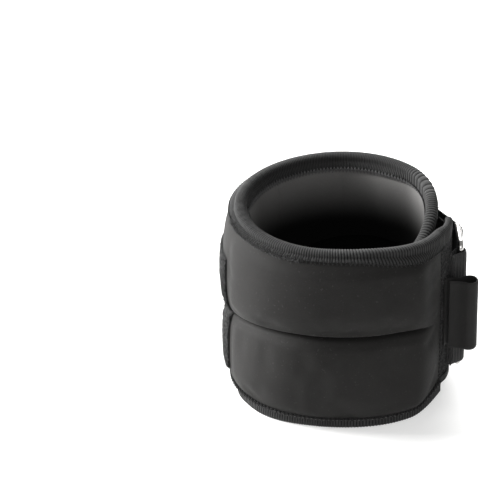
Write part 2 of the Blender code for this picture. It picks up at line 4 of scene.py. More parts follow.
import bpy
import numpy as np
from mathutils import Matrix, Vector

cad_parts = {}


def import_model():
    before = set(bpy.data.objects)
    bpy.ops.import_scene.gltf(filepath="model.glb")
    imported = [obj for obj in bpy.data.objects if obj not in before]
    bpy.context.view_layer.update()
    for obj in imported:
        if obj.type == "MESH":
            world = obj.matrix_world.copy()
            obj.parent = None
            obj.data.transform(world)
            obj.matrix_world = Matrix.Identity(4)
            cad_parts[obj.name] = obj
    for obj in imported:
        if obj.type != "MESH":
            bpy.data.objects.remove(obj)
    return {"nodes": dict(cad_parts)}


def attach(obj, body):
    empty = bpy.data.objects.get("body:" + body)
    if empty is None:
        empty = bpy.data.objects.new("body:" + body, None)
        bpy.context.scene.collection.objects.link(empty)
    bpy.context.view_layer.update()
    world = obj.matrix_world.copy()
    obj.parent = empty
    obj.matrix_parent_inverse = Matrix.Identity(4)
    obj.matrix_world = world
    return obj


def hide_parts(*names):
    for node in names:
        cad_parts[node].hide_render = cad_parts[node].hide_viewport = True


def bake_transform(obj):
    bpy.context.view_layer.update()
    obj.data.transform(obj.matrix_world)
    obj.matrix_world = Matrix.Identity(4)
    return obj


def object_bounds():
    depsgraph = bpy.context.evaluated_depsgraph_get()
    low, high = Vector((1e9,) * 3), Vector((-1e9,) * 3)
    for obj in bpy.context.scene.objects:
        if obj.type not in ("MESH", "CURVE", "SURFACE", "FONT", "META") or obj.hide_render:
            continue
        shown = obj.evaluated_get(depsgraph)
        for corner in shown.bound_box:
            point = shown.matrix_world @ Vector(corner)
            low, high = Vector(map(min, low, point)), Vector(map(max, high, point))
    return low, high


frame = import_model()
CAD_LOW, CAD_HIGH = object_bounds()

MM = 0.001
PI = math.pi

# The cuff's axis lies off the box's centre, because the ring and the tab stand out on one side.
AXIS = np.array([-8.127, -3.437]) * MM

# Wrap, by wrap angle: 0 at +X, clockwise from above, from the flap round to the inner end.
HEIGHT = CAD_HIGH.z
WRAP_RADIUS = 53 * MM
FRONT_END_RISE = 9 * MM
SEAM_ANGLE = 25.3
INNER_END_ANGLE = 400
EDGE_DROP = 3.5 * MM
INNER_END_DROP = 12 * MM
BOTTOM_RISE = 5 * MM
CREASE_HEIGHT = 61.4 * MM
CREASE_SAG = 13 * MM
CREASE_END_DROP = 3.3 * MM
BACK_SWELL = 3.8 * MM
LEFT_FLAT = 1.0 * MM
FLAP_CREST, FLAP_DROP = 1.5 * MM, 3.2 * MM
END_TUCK = 1.0 * MM
BELL, BELL_HEIGHT = 4.0 * MM, 58 * MM

# The two faces of the padding, as offsets from the wrap's centre surface, and how far they swell.
SHELL_OFFSET, LINING_OFFSET = 2.2 * MM, 1.9 * MM
ROW_STEP, ROW_BASE, ROW_SWELL = 2.4 * MM, 0.8 * MM, 6.3 * MM
BARREL_SWELL, QUILT_SWELL = 6.6 * MM, 3.9 * MM
SHELL_LOW_EDGE, LINING_EDGE = 6.6 * MM, 4 * MM
SEAM_PULL, SEAM_WIDTH = 1.7 * MM, 1.1 * MM
PAD_START = 42
PAD_END = 322
COLUMNS = 6

# An offset well inside the wrap, from which outward directions are taken.
INSIDE = -20 * MM


# --- the wrap's form

def smooth_step(low, high, value):
    share = np.clip((np.asarray(value, float) - low) / (high - low), 0, 1)
    return share * share * (3 - 2 * share)


def wrap_radius(angle):
    flat = LEFT_FLAT * np.maximum(-np.cos(np.radians(angle)), 0) ** 2
    rise = FRONT_END_RISE * smooth_step(95, 25, angle)
    crest = FLAP_CREST * smooth_step(25, 17, angle) - FLAP_DROP * smooth_step(14, -6, angle)
    tuck = END_TUCK * smooth_step(355, 395, angle)
    swell = BACK_SWELL * smooth_step(232, 310, angle) * smooth_step(360, 314, angle)
    return WRAP_RADIUS + rise + crest - tuck - flat + swell


def wrap_top(angle):
    front = EDGE_DROP * smooth_step(75, 25, angle)
    return HEIGHT - front - INNER_END_DROP * smooth_step(352, 398, angle)


def wrap_bottom(angle):
    return BOTTOM_RISE * smooth_step(48, 25, angle)


def crease_height(angle):
    sag = CREASE_SAG * np.sin(PI * (np.clip(angle, 100, 300) - 100) / 200) ** 2
    return CREASE_HEIGHT - sag - CREASE_END_DROP * smooth_step(60, 35, angle)


def world(angle, radius, height):
    turn = np.radians(angle)
    x = AXIS[0] + radius * np.cos(turn)
    y = AXIS[1] - radius * np.sin(turn)
    return np.stack(np.broadcast_arrays(x, y, height), axis=-1)


def low_left(angle):
    """1 at the front left, where the filling has sunk and the wrap bells out at its foot."""
    return smooth_step(100, 145, angle) * smooth_step(250, 215, angle)


def on_wrap(angle, offset, height):
    """Points off the wrap's centre surface, which bells out low at the left."""
    height = np.asarray(height, float)
    above_foot = smooth_step(3 * MM, 12 * MM, height)
    corner = smooth_step(100, 138, angle) * smooth_step(188, 152, angle)
    tucked = corner - 0.5 * smooth_step(152, 180, angle) * smooth_step(250, 215, angle)
    share = low_left(angle) * above_foot + tucked * (1 - above_foot)
    bell = BELL * share * np.clip(1 - height / BELL_HEIGHT, 0, 1)
    return world(angle, wrap_radius(angle) + bell + offset, height)


def pillow(share, power, root):
    """0 at both ends of a row and 1 in its middle, steep at the ends."""
    return np.clip(1 - np.abs(2 * np.clip(share, 0, 1) - 1) ** power, 0, 1) ** root


def row_share(angle, height, low_edge, high_edge):
    """Distance from the crease, 0, to the lower or the upper edge of the padding, 1."""
    seam = crease_height(angle)
    up = (height - seam) / (wrap_top(angle) - high_edge - seam)
    down = (seam - height) / (seam - low_edge - wrap_bottom(angle))
    return np.clip(np.where(height >= seam, up, down), 0, 1)


def between_edges(angle, height, low_edge, high_edge):
    """Share of the way from the lower tape to the upper tape, and whether it lies between them."""
    low = wrap_bottom(angle) + low_edge
    share = (height - low) / (wrap_top(angle) - high_edge - low)
    return share, (share > 0) & (share < 1)


def outer_face(angle, height):
    """How far the shell's face stands out from the wrap's centre surface."""
    high_edge = (3.2 + 2.4 * smooth_step(80, 35, angle)) * MM
    seam = crease_height(angle)
    share = row_share(angle, height, SHELL_LOW_EDGE, high_edge)
    sunk = 1 - 0.4 * low_left(angle) * (height < seam)
    stitched = SEAM_PULL * np.exp(-(np.abs(height - seam) / SEAM_WIDTH) ** 2)
    rows = ROW_STEP * (1 - share) + ROW_BASE + ROW_SWELL * pillow(share, 2.7, 0.5) * sunk - stitched
    whole, inside = between_edges(angle, height, SHELL_LOW_EDGE, high_edge)
    barrel = BARREL_SWELL * pillow(whole, 2.6, 0.5)
    creased = smooth_step(35, 50, angle)
    near_flap = smooth_step(22, 50, angle)
    far = smooth_step(PAD_END + 4, PAD_END - 16, angle)
    swell = (barrel * (1 - creased) + rows * creased) * near_flap * far
    return SHELL_OFFSET + np.where(inside, swell, 0)


def seam_depth(angle):
    """How deep the lining's upright seams are: shallow at the back, deeper elsewhere."""
    return 1 - 0.93 * smooth_step(195, 220, angle)


def inner_face(angle, height):
    """How far the lining's face stands in from the wrap's centre surface, as a negative offset."""
    share = row_share(angle, height, LINING_EDGE, LINING_EDGE)
    column = (angle - PAD_START) / (PAD_END - PAD_START) * COLUMNS
    column = np.clip(column, 0, COLUMNS) % 1
    across = pillow(column, 3.2, 0.5)
    across = 1 - (1 - across) * seam_depth(angle)
    padded = smooth_step(PAD_START - 2, PAD_START + 6, angle)
    padded = padded * smooth_step(PAD_END + 2, PAD_END - 22, angle)
    _, inside = between_edges(angle, height, LINING_EDGE, LINING_EDGE)
    swell = QUILT_SWELL * pillow(share, 2.6, 0.55) * across * padded
    return -LINING_OFFSET - np.where(inside, swell, 0)


# --- mesh helpers

def mesh_object(name, vertices, faces, material):
    mesh = bpy.data.meshes.new(name)
    mesh.from_pydata(np.asarray(vertices, float).tolist(), [], faces)
    mesh.update()
    mesh.shade_smooth()
    mesh.set_sharp_from_angle(angle=math.radians(62))
    mesh.materials.append(material)
    obj = bpy.data.objects.new(name, mesh)
    bpy.context.scene.collection.objects.link(obj)
    return obj


def grid_faces(rows, columns, start, flip, wrap=False):
    faces = []
    last = columns if wrap else columns - 1
    for i in range(rows - 1):
        for j in range(last):
            k = (j + 1) % columns
            a, b = start + i * columns + j, start + i * columns + k
            c, d = start + (i + 1) * columns + k, start + (i + 1) * columns + j
            faces.append((a, d, c, b) if flip else (a, b, c, d))
    return faces


def end_caps(rings, sides):
    last = (rings - 1) * sides
    return [tuple(range(sides)), tuple(range(last + sides - 1, last - 1, -1))]


def slab(name, front, back, material):
    """A closed solid between two grids of points of the same size; front faces outwards."""
    rows, columns = front.shape[:2]
    count = rows * columns
    across = np.cross(front[1, 0] - front[0, 0], front[0, 1] - front[0, 0])
    flip = np.dot(across, front[0, 0] - back[0, 0]) > 0
    faces = grid_faces(rows, columns, 0, flip) + grid_faces(rows, columns, count, not flip)
    index = np.arange(count).reshape(rows, columns)
    ids = [*index[0, :-1], *index[:-1, -1], *index[-1, :0:-1], *index[:0:-1, 0]]
    ids = [int(i) for i in ids]
    for a, b in zip(ids, ids[1:] + ids[:1]):
        faces.append((a, b, b + count, a + count) if not flip else (b, a, a + count, b + count))
    vertices = np.concatenate([front.reshape(-1, 3), back.reshape(-1, 3)])
    return mesh_object(name, vertices, faces, material)


def unit(vectors):
    return vectors / np.linalg.norm(vectors, axis=-1, keepdims=True)


def running_length(points):
    return np.concatenate([[0], np.cumsum(np.linalg.norm(np.diff(points, axis=0), axis=1))])


def normals_of(grid):
    normal = np.cross(np.gradient(grid, axis=0), np.gradient(grid, axis=1))
    return normal / np.maximum(np.linalg.norm(normal, axis=-1, keepdims=True), 1e-12)


def thick_sheet(name, middle, thickness, material, relief=0.0):
    """A closed sheet about a grid of points, thinner at its first and last columns.

    Relief, one value a row, is added to half the thickness.
    """
    normal = normals_of(middle)
    share = np.linspace(-1, 1, middle.shape[1])
    half = thickness / 2 * np.sqrt(np.clip(1.04 - np.abs(share) ** 40, 0, 1))[None, :]
    half = (half + np.broadcast_to(relief, middle.shape[:2]))[..., None]
    return slab(name, middle + normal * half, middle - normal * half, material)


def tube(name, points, radius, material, sides=6, closed=False):
    """A round tube along points."""
    points = np.asarray(points, float)
    count = len(points)
    if closed:
        tangent = np.roll(points, -1, axis=0) - np.roll(points, 1, axis=0)
    else:
        tangent = np.gradient(points, axis=0)
    tangent = unit(tangent)
    side = np.zeros_like(points)
    guide = np.array([0.13, 0.31, 0.94])
    for i, along in enumerate(tangent):
        guide = guide - np.dot(guide, along) * along
        guide = guide / np.linalg.norm(guide)
        side[i] = guide
    other = np.cross(tangent, side)
    turn = np.arange(sides) / sides * 2 * PI
    ring = side[:, None] * np.cos(turn)[:, None] + other[:, None] * np.sin(turn)[:, None]
    vertices = (points[:, None] + ring * radius).reshape(-1, 3)
    faces = grid_faces(count, sides, 0, True, wrap=True)
    if closed:
        lag = math.atan2(np.dot(side[-1], other[0]), np.dot(side[-1], side[0]))
        twist = round(lag / (2 * PI) * sides)
        for j in range(sides):
            a, b = (count - 1) * sides + j, (count - 1) * sides + (j + 1) % sides
            c, d = (j + 1 + twist) % sides, (j + twist) % sides
            faces.append((a, d, c, b))
    else:
        faces += end_caps(count, sides)
    return mesh_object(name, vertices, faces, material)


def scatter(name, vertices, faces, origins, frames, material):
    """Copies of one small closed shape, each at an origin with its own 3x3 frame of row vectors."""
    vertices = np.asarray(vertices, float)
    placed = origins[:, None] + np.einsum("vk,nkj->nvj", vertices, frames)
    step = len(vertices)
    copies = range(len(origins))
    every = [tuple(index + n * step for index in face) for n in copies for face in faces]
    return mesh_object(name, placed.reshape(-1, 3), every, material)


def stitch_shape(length, radius):
    """A small rounded stitch along x, arched a little out along z."""
    vertices, sides, rings = [], 6, 5
    for i in range(rings):
        share = i / (rings - 1) * 2 - 1
        round_off = math.sqrt(max(1 - (0.97 * share) ** 4, 0))
        lift = radius * 0.9 * (1 - share * share)
        for j in range(sides):
            turn = 2 * PI * j / sides
            y = radius * round_off * math.cos(turn)
            z = radius * round_off * math.sin(turn) + lift
            vertices.append((share * length / 2, y, z))
    return vertices, grid_faces(rings, sides, 0, True, wrap=True) + end_caps(rings, sides)


def fibre_shape(length, radius, bend):
    """A tiny curled fibre that stands up along z and leans along x."""
    vertices = []
    for share in (0, 0.5, 1):
        thin = radius * (1 - 0.6 * share)
        for j in range(3):
            turn = 2 * PI * j / 3
            x = bend * share * share * length + thin * math.cos(turn)
            vertices.append((x, thin * math.sin(turn), length * share * (1 - 0.35 * share)))
    return vertices, grid_faces(3, 3, 0, True, wrap=True) + end_caps(3, 3)


def frames_on(tangent, normal):
    """Row frames (along, sideways, out) from tangents and outward normals."""
    out = unit(normal)
    along = unit(tangent - np.sum(tangent * out, axis=-1, keepdims=True) * out)
    return np.stack([along, np.cross(out, along), out], axis=1)


def random_frames(chooser, normal, lean):
    """Frames whose out direction leans at random from the normal."""
    count = len(normal)
    out = normal + chooser.normal(0, lean, (count, 3))
    return frames_on(chooser.normal(0, 1, (count, 3)), out)


CORNER_CUTS = 3


def rounded_path(points, spacing):
    """Plan points with their corners rounded, then read off at an even spacing."""
    path = np.asarray(points, float)
    for _ in range(CORNER_CUTS):
        cut_a = path[:-1] * 0.75 + path[1:] * 0.25
        cut_b = path[:-1] * 0.25 + path[1:] * 0.75
        path = np.concatenate([path[:1], np.stack([cut_a, cut_b], 1).reshape(-1, 2), path[-1:]])
    lengths = running_length(path)
    samples = np.linspace(0, lengths[-1], max(int(lengths[-1] / spacing), 4) + 1)
    return np.stack([np.interp(samples, lengths, path[:, k]) for k in (0, 1)], axis=1), samples


def upright(path, heights):
    """A grid of points: every plan point at every height, or at its own row of heights."""
    heights = np.broadcast_to(np.asarray(heights, float), (len(path), np.shape(heights)[-1]))
    flat = np.repeat(path[:, None], heights.shape[1], axis=1)
    return np.concatenate([flat, heights[..., None]], axis=-1)


def at_axis(points):
    """Plan points in millimetres from the cuff's axis, in the row frame."""
    return np.asarray(points, float).reshape(-1, 2) * MM + AXIS


def strap_point(angle, offset):
    """Plan points for the strap, at angles counter-clockwise from +X, offset from the wrap."""
    angle = np.atleast_1d(np.asarray(angle, float))
    return on_wrap(360 - angle, offset, HEIGHT)[..., :2]


def on_plan(angle, offset):
    """Plan points on the wrap, by wrap angle and offset."""
    return on_wrap(np.asarray(angle, float), offset, 0.0)[..., :2]


def turn_round(bar, towards, side, radius):
    """Plan points of a half turn round a bar, open towards a direction."""
    facing = math.atan2(towards[1], towards[0])
    turns = facing + side * np.linspace(PI / 2, 1.5 * PI, 13)
    return bar + radius * np.stack([np.cos(turns), np.sin(turns)], axis=1)


def straight(start, end, steps):
    share = np.arange(1, steps)[:, None] / steps
    return start + (end - start) * share


def fuzz(name, grid, normal, count, length, chooser, material, lean=0.55, radius=0.085 * MM):
    """Short fibres at random over a grid of points."""
    rows, columns = grid.shape[:2]
    i = chooser.integers(0, rows - 1, count)
    j = chooser.integers(0, columns - 1, count)
    u, v = chooser.random((count, 1)), chooser.random((count, 1))
    low = grid[i, j] * (1 - v) + grid[i, j + 1] * v
    high = grid[i + 1, j] * (1 - v) + grid[i + 1, j + 1] * v
    origins = low * (1 - u) + high * u
    frames = random_frames(chooser, normal[i, j], lean) * chooser.uniform(0.6, 1.3, (count, 1, 1))
    vertices, faces = fibre_shape(length, radius, 0.8)
    return scatter(name, vertices, faces, origins, frames, material)


def pebbled(chooser, shape, height):
    """A lumpy random field: clumps of pile a few points across."""
    field = chooser.normal(0, 1, shape)
    for axis in (0, 1):
        field = field + np.roll(field, 1, axis) + 0.5 * np.roll(field, 2, axis)
    return np.clip(field / field.std(), -2, 2) * height


def stitches(name, points, normals, pitch, length, radius, material):
    """Separate rounded stitches along a line of points."""
    points, normals = np.asarray(points, float), np.asarray(normals, float)
    lengths = running_length(points)
    count = max(int(lengths[-1] / pitch), 2)
    at = (np.arange(count) + 0.5) * lengths[-1] / count

    def along(where, values):
        return np.stack([np.interp(where, lengths, values[:, k]) for k in range(3)], axis=1)

    tangent = along(at + pitch / 4, points) - along(at - pitch / 4, points)
    vertices, faces = stitch_shape(length, radius)
    frames = frames_on(tangent, along(at, normals))
    return scatter(name, vertices, faces, along(at, points), frames, material)


# --- materials

def node_material(name):
    material = bpy.data.materials.new(name)
    material.use_nodes = True
    tree = material.node_tree
    return material, tree, tree.nodes["Principled BSDF"]


def set_inputs(node, values):
    for key, value in values.items():
        node.inputs[key].default_value = value


def add_node(tree, kind, **values):
    node = tree.nodes.new(kind)
    for key, value in values.items():
        if key in node.inputs:
            set_inputs(node, {key: value})
        else:
            setattr(node, key, value)
    return node


def noise_at(tree, place, scale, detail=3.0):
    noise = add_node(tree, "ShaderNodeTexNoise", Scale=scale, Detail=detail, Roughness=0.55)
    tree.links.new(place, noise.inputs["Vector"])
    return noise.outputs["Fac"]


def ramp_between(tree, factor, dark, light, low=0.3, high=0.7):
    ramp = tree.nodes.new("ShaderNodeValToRGB")
    ramp.color_ramp.elements[0].position = low
    ramp.color_ramp.elements[1].position = high
    ramp.color_ramp.elements[0].color = (*dark, 1)
    ramp.color_ramp.elements[1].color = (*light, 1)
    tree.links.new(factor, ramp.inputs["Fac"])
    return ramp.outputs["Color"]


def combine(tree, operation, first, second):
    node = add_node(tree, "ShaderNodeMath", operation=operation)
    for socket, value in zip(node.inputs, (first, second)):
        if isinstance(value, (int, float)):
            socket.default_value = value
        else:
            tree.links.new(value, socket)
    return node.outputs[0]


def bump(tree, shader, height, strength, distance):
    node = add_node(tree, "ShaderNodeBump", Strength=strength, Distance=distance)
    tree.links.new(height, node.inputs["Height"])
    tree.links.new(node.outputs["Normal"], shader.inputs["Normal"])


def darken(tree, colour, driver, low, high, floor=0.22):
    """Painted shade: scale a colour by a share that rises from floor to 1 as the driver goes from
    low to high.
    """
    share = add_node(tree, "ShaderNodeMapRange", interpolation_type="SMOOTHSTEP")
    set_inputs(share, {"From Min": low, "From Max": high, "To Min": floor})
    tree.links.new(driver, share.inputs["Value"])
    scale = add_node(tree, "ShaderNodeVectorMath", operation="SCALE")
    tree.links.new(colour, scale.inputs[0])
    tree.links.new(share.outputs["Result"], scale.inputs["Scale"])
    return scale.outputs["Vector"]


def grey(value, warm=0.0):
    return (value * (1 + warm), value, value * (1 - warm))


def fabric(name, tones, roughness, sheen, grain, depth,
           weave=None, lint=0.0, painted_groove_shade=False, painted_depth_shade=None):
    """Cloth with grain, slow colour variation and sheen.

    Tones are its dark grey, its light grey and how warm they are. Grain is a noise scale, depth
    is the bump's height in metres, and weave is the scale and the share of a cell pattern.
    Lint is how far the pale specks show, the groove flag paints shade into the grooves between
    ribs, and the last is a pair of heights between which painted shade, near black, gives way
    to the cloth's full colour.
    """
    dark, light, warm = tones
    material, tree, shader = node_material(name)
    place = tree.nodes.new("ShaderNodeTexCoord").outputs["Object"]
    fine = noise_at(tree, place, grain, 2.0)
    slow = noise_at(tree, place, 38.0, 4.0)
    fine_share = combine(tree, "MULTIPLY", fine, 0.55)
    slow_share = combine(tree, "MULTIPLY", slow, 0.45)
    mixed = combine(tree, "ADD", fine_share, slow_share)
    colour = ramp_between(tree, mixed, grey(dark, warm), grey(light, warm), 0.36, 0.64)
    if lint:
        speck = noise_at(tree, place, 900.0, 0.0)
        mask = combine(tree, "GREATER_THAN", speck, 0.78)
        mix = add_node(tree, "ShaderNodeMix", data_type="RGBA")
        mix.inputs[7].default_value = (0.16, 0.16, 0.155, 1)
        tree.links.new(combine(tree, "MULTIPLY", mask, lint), mix.inputs[0])
        tree.links.new(colour, mix.inputs[6])
        colour = mix.outputs[2]
    # Painted shade: the grooves between the tape's ribs are darkened.
    if painted_groove_shade:
        crest = add_node(tree, "ShaderNodeAttribute", attribute_name="crest").outputs["Fac"]
        colour = darken(tree, colour, crest, 0.25, 0.8)
    # Painted shade: the cloth goes darker towards the bottom, down to near black.
    if painted_depth_shade:
        height = tree.nodes.new("ShaderNodeSeparateXYZ")
        tree.links.new(place, height.inputs["Vector"])
        colour = darken(tree, colour, height.outputs["Z"], *painted_depth_shade, floor=0.005)
    tree.links.new(colour, shader.inputs["Base Color"])
    height = fine
    if weave:
        cell = add_node(tree, "ShaderNodeTexVoronoi", Scale=weave[0])
        tree.links.new(place, cell.inputs["Vector"])
        woven = combine(tree, "MULTIPLY", cell.outputs["Distance"], weave[1])
        height = combine(tree, "ADD", fine, woven)
    bump(tree, shader, height, 0.6, depth)
    set_inputs(shader, {
        "Roughness": roughness, "Sheen Weight": sheen, "Sheen Roughness": 0.45,
        "Sheen Tint": (0.75, 0.75, 0.74, 1), "Specular IOR Level": 0.08})
    return material


def metal(name):
    """Bright plated steel with faint drawn scratches."""
    material, tree, shader = node_material(name)
    place = tree.nodes.new("ShaderNodeTexCoord").outputs["Object"]
    slow = noise_at(tree, place, 160.0, 3.0)
    colour = ramp_between(tree, slow, (0.46, 0.45, 0.44), (0.62, 0.61, 0.60))
    tree.links.new(colour, shader.inputs["Base Color"])
    rough = add_node(tree, "ShaderNodeMapRange")
    set_inputs(rough, {"To Min": 0.10, "To Max": 0.24})
    tree.links.new(noise_at(tree, place, 700.0, 4.0), rough.inputs["Value"])
    tree.links.new(rough.outputs["Result"], shader.inputs["Roughness"])
    bump(tree, shader, noise_at(tree, place, 1400.0, 2.0), 0.12, 0.00003)
    shader.inputs["Metallic"].default_value = 1.0
    return material


def moulded(name, colour, roughness):
    material, tree, shader = node_material(name)
    place = tree.nodes.new("ShaderNodeTexCoord").outputs["Object"]
    tone = noise_at(tree, place, 300.0, 3.0)
    lighter = tuple(channel * 1.6 for channel in colour)
    tree.links.new(ramp_between(tree, tone, colour, lighter), shader.inputs["Base Color"])
    bump(tree, shader, tone, 0.2, 0.00005)
    shader.inputs["Roughness"].default_value = roughness
    return material


NEOPRENE = fabric("neoprene_face", (0.0100, 0.0145, 0.03), 0.72, 0.035, 2600.0, 0.00010,
                  weave=(2200.0, 0.5), lint=0.06)
# The lining carries painted shade, darker towards the bottom of the inside.
LINING = fabric("lining_face", (0.125, 0.150, 0.02), 0.95, 0.01, 2200.0, 0.00012,
                weave=(1900.0, 0.6), painted_depth_shade=(0.071, 0.112))
# The tape's colour is darker in the grooves between its ribs: painted shade.
TAPE = fabric("ribbed_tape", (0.022, 0.038, 0), 0.7, 0.10, 2400.0, 0.00012, painted_groove_shade=True)
PILE = fabric("loop_pile", (0.006, 0.032, 0), 0.92, 0.08, 620.0, 0.00035, weave=(1300.0, 0.8))
FIBRE = fabric("pile_fibre", (0.014, 0.075, 0), 0.85, 0.1, 700.0, 0.00005)
STRAP = fabric("flat_strap", (0.006, 0.010, 0), 0.55, 0.05, 2400.0, 0.00008, weave=(2600.0, 0.5))
ELASTIC = fabric("elastic_web", (0.014, 0.036, 0), 0.7, 0.12, 2200.0, 0.00012)
TAB = fabric("tab_cloth", (0.012, 0.018, 0.02), 0.62, 0.1, 2600.0, 0.00008, weave=(2400.0, 0.5))
THREAD = fabric("sewing_thread", (0.008, 0.014, 0), 0.6, 0.08, 3000.0, 0.00006)
EDGE_THREAD = fabric("edge_thread", (0.050, 0.105, 0), 0.75, 0.15, 3000.0, 0.00006)
SAND_BAG = fabric("sand_bag", (0.07, 0.12, 0), 0.8, 0.1, 1500.0, 0.0002, weave=(900.0, 0.8))
STEEL = metal("bright_steel")
HOOK = moulded("hook_nylon", grey(0.012), 0.45)


# --- the padded wrap

GRID_STEP = 1.5
GRID_INSET = 1.6 * MM
GATHER = 0.13

# The cloth run: the free front between two wrap angles, and the copy's spacing, by angle and rows.
FREE_FROM, FREE_TO = 28, 160
CLOTH_STEP_ANGLE = 4.5
CLOTH_ROWS = 12
CLOTH_FRAMES = 20
CLOTH_CAP = 3 * MM
CLOTH_SLACK = 0.022
CLOTH_PRESSURE = 4
CLOTH_STIFFNESS = 12
CLOTH_BENDING = 0.6
CLOTH_QUALITY = 6
CLOTH_SMOOTHINGS = 5
PINNED_BELOW = 0.02


def wrap_grid(face, rows):
    """Angles, heights and offsets over the wrap, with rows gathered at the crease and edges."""
    angles = np.arange(SEAM_ANGLE, INNER_END_ANGLE + GRID_STEP, GRID_STEP)[:, None]
    share = np.linspace(0, 1, rows)
    share = (share - GATHER * np.sin(2 * PI * share) / PI * 1.5)[None, :]
    low, high = wrap_bottom(angles) + GRID_INSET, wrap_top(angles) - GRID_INSET
    seam = crease_height(angles)
    rows_up = seam + share[:, 1:] * (high - seam)
    heights = np.concatenate([low + share * (seam - low), rows_up], axis=1)
    return angles, heights, face(angles, heights)


def nearest(values, targets):
    return np.unique([int(np.argmin(np.abs(values - target))) for target in targets])


def settled(angles, heights, points):
    """How far the front's fabric moves, along its normal, in a short cloth run.

    The run uses a coarse copy of the free front, with a little slack and pressure behind it. The
    seam, the edges and the ends are pinned, and what it finds is capped, smoothed and read
    back at every point of the full grid.
    """
    rows = nearest(angles[:, 0], np.arange(FREE_FROM, FREE_TO + CLOTH_STEP_ANGLE, CLOTH_STEP_ANGLE))
    middle = heights.shape[1] // 2
    low, seam, high = heights[:, :1], heights[:, middle:middle + 1], heights[:, -1:]
    share = np.linspace(-1, 1, heights.shape[1])
    level = ((heights - seam) / np.where(share < 0, seam - low, high - seam))[0]
    columns = nearest(level, np.linspace(-1, 1, 2 * CLOTH_ROWS + 1))
    coarse = points[np.ix_(rows, columns)]
    from_edge = np.minimum(heights - low, high - heights)
    from_seam = np.abs(heights - seam)
    free = smooth_step(6 * MM, 12 * MM, from_edge) * smooth_step(1.5 * MM, 7 * MM, from_seam)
    free = free * smooth_step(FREE_FROM, FREE_FROM + 8, angles)
    free = free * smooth_step(FREE_TO, FREE_TO - 8, angles)
    normal = normals_of(coarse)
    outward = np.sum(normal[..., :2] * (coarse[..., :2] - AXIS)) > 0
    normal = normal if outward else -normal
    faces = grid_faces(len(rows), len(columns), 0, outward)
    piece = mesh_object("settling", coarse.reshape(-1, 3), faces, NEOPRENE)
    pinned = np.flatnonzero(free[np.ix_(rows, columns)].ravel() < PINNED_BELOW)
    group = piece.vertex_groups.new(name="pinned")
    group.add([int(i) for i in pinned], 1.0, "REPLACE")
    cloth = piece.modifiers.new("cloth", "CLOTH")
    cloth.settings.vertex_group_mass = "pinned"
    cloth.settings.use_pressure = True
    cloth.settings.shrink_min = -CLOTH_SLACK
    cloth.settings.uniform_pressure_force = CLOTH_PRESSURE
    cloth.settings.effector_weights.gravity = 0
    cloth.settings.tension_stiffness = CLOTH_STIFFNESS
    cloth.settings.compression_stiffness = CLOTH_STIFFNESS
    cloth.settings.bending_stiffness = CLOTH_BENDING
    cloth.settings.quality = CLOTH_QUALITY
    cloth.point_cache.frame_end = CLOTH_FRAMES
    scene = bpy.context.scene
    for number in range(1, CLOTH_FRAMES + 1):
        scene.frame_set(number)
    result = piece.evaluated_get(bpy.context.evaluated_depsgraph_get()).data
    moved = np.array([vertex.co[:] for vertex in result.vertices]).reshape(coarse.shape) - coarse
    scene.frame_set(1)
    bpy.data.objects.remove(piece)
    amount = np.sum(moved * normal, axis=-1)
    amount = CLOTH_CAP * np.tanh(amount / CLOTH_CAP)
    fine = np.stack([np.interp(angles[:, 0], angles[rows, 0], line) for line in amount.T], axis=1)
    fine = np.stack([np.interp(level, level[columns], row) for row in fine])
    for _ in range(CLOTH_SMOOTHINGS):
        for axis in (0, 1):
            fine = (np.roll(fine, 1, axis) + 2 * fine + np.roll(fine, -1, axis)) / 4
    return fine * free


def make_shell():
    angles, heights, face = wrap_grid(outer_face, 60)
    front = on_wrap(angles, face, heights)
    front = on_wrap(angles, face + settled(angles, heights, front), heights)
    back = on_wrap(angles, face - 1.9 * MM, heights)
    piece = slab("neoprene_shell", front, back, NEOPRENE)
    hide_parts("outer_shell")
    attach(piece, "band")


def make_lining():
    angles, heights, face = wrap_grid(inner_face, 50)
    front = on_wrap(angles, face, heights)
    back = on_wrap(angles, face + 1.5 * MM, heights)
    piece = slab("quilted_lining", front, back, LINING)
    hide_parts("inner_lining")
    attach(piece, "band")


# Tape: its ribs, how deep its fold is, the half turn over the edge, and the fold's offsets.
RIB_PITCH = 1.3 * MM
RIB_HEIGHT = 0.42 * MM
PER_RIB = 5
CROWN_DEPTH = 1.9 * MM
CROWN_TURN = np.linspace(0, PI, 9)[None, 1:-1]
FLAT = np.ones((1, 6))
FOLD = np.concatenate([FLAT, np.cos(CROWN_TURN), -FLAT], axis=1)
TAPE_CLEAR = 1.1 * MM
TAPE_THICKNESS = 0.75 * MM


def tape_line(angle, edge_at, sign, leg_out, leg_in):
    """The folded tape's outer surface by angle: offsets and heights down both legs."""
    legs = np.linspace(1, 0, 7)
    out_depth = CROWN_DEPTH + (leg_out - CROWN_DEPTH) * legs
    in_depth = CROWN_DEPTH + (leg_in - CROWN_DEPTH) * legs[::-1]
    outer = outer_face(angle, edge_at + sign * out_depth) + TAPE_CLEAR
    inner = inner_face(angle, edge_at + sign * in_depth) - TAPE_CLEAR
    top_out, top_in = outer[:, -1:], inner[:, :1]
    middle, half = (top_out + top_in) / 2, (top_out - top_in) / 2
    crown = middle + half * np.cos(CROWN_TURN)
    crown_depth = np.broadcast_to(CROWN_DEPTH * (1 - np.sin(CROWN_TURN)), crown.shape)
    offsets = np.concatenate([outer, crown, inner], axis=1)
    depths = np.concatenate([out_depth, crown_depth, in_depth], axis=1)
    return offsets, edge_at + sign * depths


